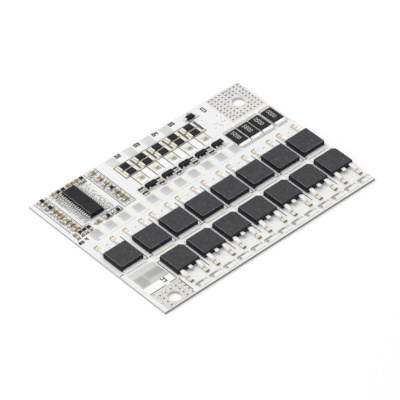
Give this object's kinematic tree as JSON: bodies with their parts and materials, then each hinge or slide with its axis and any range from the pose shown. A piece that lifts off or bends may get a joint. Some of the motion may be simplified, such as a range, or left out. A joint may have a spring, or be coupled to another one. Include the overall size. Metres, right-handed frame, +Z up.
{
  "type": "battery management board",
  "caption": "Thin white circuit board with two rows of power transistors, sense resistors, a monitor chip, balancing groups and tinned solder pads, with a mounting hole in two corners.",
  "frame": {"origin": "middle of the board's underside", "axes": "+X along the transistor rows, +Y from the output edge to the cell-tap edge, +Z up out of the component side"},
  "size_m": [0.063, 0.045, 0.0022],
  "materials": {
    "white_mask": "satin white solder mask over glass laminate",
    "corner_tin": "dull levelled solder",
    "output_tin": "satin levelled solder",
    "bus_tin": "satin levelled solder",
    "bare_copper": "pale flux-coated copper",
    "edge_tin": "bright domed solder",
    "pad_tin": "bright levelled solder",
    "cream_pad": "pale flux-stained solder",
    "moulding": "matte moulding compound",
    "frame_metal": "bright tin plate",
    "sense_coating": "satin black coating",
    "sense_metal": "bright tin plate",
    "chip_moulding": "matte moulding compound",
    "pin_metal": "tin plate",
    "black_glaze": "black glaze over ceramic",
    "cream_ends": "yellowed tin plate",
    "gate_ceramic": "cream ceramic",
    "chip_metal": "tin plate",
    "tan_ceramic": "tan ceramic"
  },
  "bodies": {
    "root": {"board": "white_mask", "front_corner_pad": "corner_tin", "back_corner_pad": "corner_tin", "tap_pads": "corner_tin", "output_pad": "output_tin", "bus_windows": "bus_tin", "bus_copper_bars": "bare_copper", "edge_windows": "edge_tin", "power_pads": "pad_tin", "signal_pads": "pad_tin", "sense_pads": "cream_pad", "balance_pads": "cream_pad", "rear_transistor_body_1": "moulding", "rear_transistor_body_2": "moulding", "rear_transistor_body_3": "moulding", "rear_transistor_body_4": "moulding", "rear_transistor_body_5": "moulding", "rear_transistor_body_6": "moulding", "rear_transistor_body_7": "moulding", "rear_transistor_body_8": "moulding", "rear_transistor_frame_1": "frame_metal", "rear_transistor_frame_2": "frame_metal", "rear_transistor_frame_3": "frame_metal", "rear_transistor_frame_4": "frame_metal", "rear_transistor_frame_5": "frame_metal", "rear_transistor_frame_6": "frame_metal", "rear_transistor_frame_7": "frame_metal", "rear_transistor_frame_8": "frame_metal", "front_transistor_body_1": "moulding", "front_transistor_body_2": "moulding", "front_transistor_body_3": "moulding", "front_transistor_body_4": "moulding", "front_transistor_body_5": "moulding", "front_transistor_body_6": "moulding", "front_transistor_body_7": "moulding", "front_transistor_frame_1": "frame_metal", "front_transistor_frame_2": "frame_metal", "front_transistor_frame_3": "frame_metal", "front_transistor_frame_4": "frame_metal", "front_transistor_frame_5": "frame_metal", "front_transistor_frame_6": "frame_metal", "front_transistor_frame_7": "frame_metal", "sense_resistor_body_1": "sense_coating", "sense_resistor_body_2": "sense_coating", "sense_resistor_body_3": "sense_coating", "sense_resistor_body_4": "sense_coating", "sense_resistor_ends": "sense_metal", "monitor_chip_body": "chip_moulding", "monitor_chip_pins": "pin_metal", "balance_resistor_bodies": "black_glaze", "balance_resistor_ends": "cream_ends", "switch_transistor_bodies": "chip_moulding", "switch_transistor_leads": "pin_metal", "zener_body": "chip_moulding", "zener_leads": "pin_metal", "gate_resistor_bodies": "gate_ceramic", "gate_resistor_ends": "chip_metal", "capacitor_bodies": "tan_ceramic", "resistor_bodies": "black_glaze", "small_chip_ends": "chip_metal"}
  },
  "joints": []
}
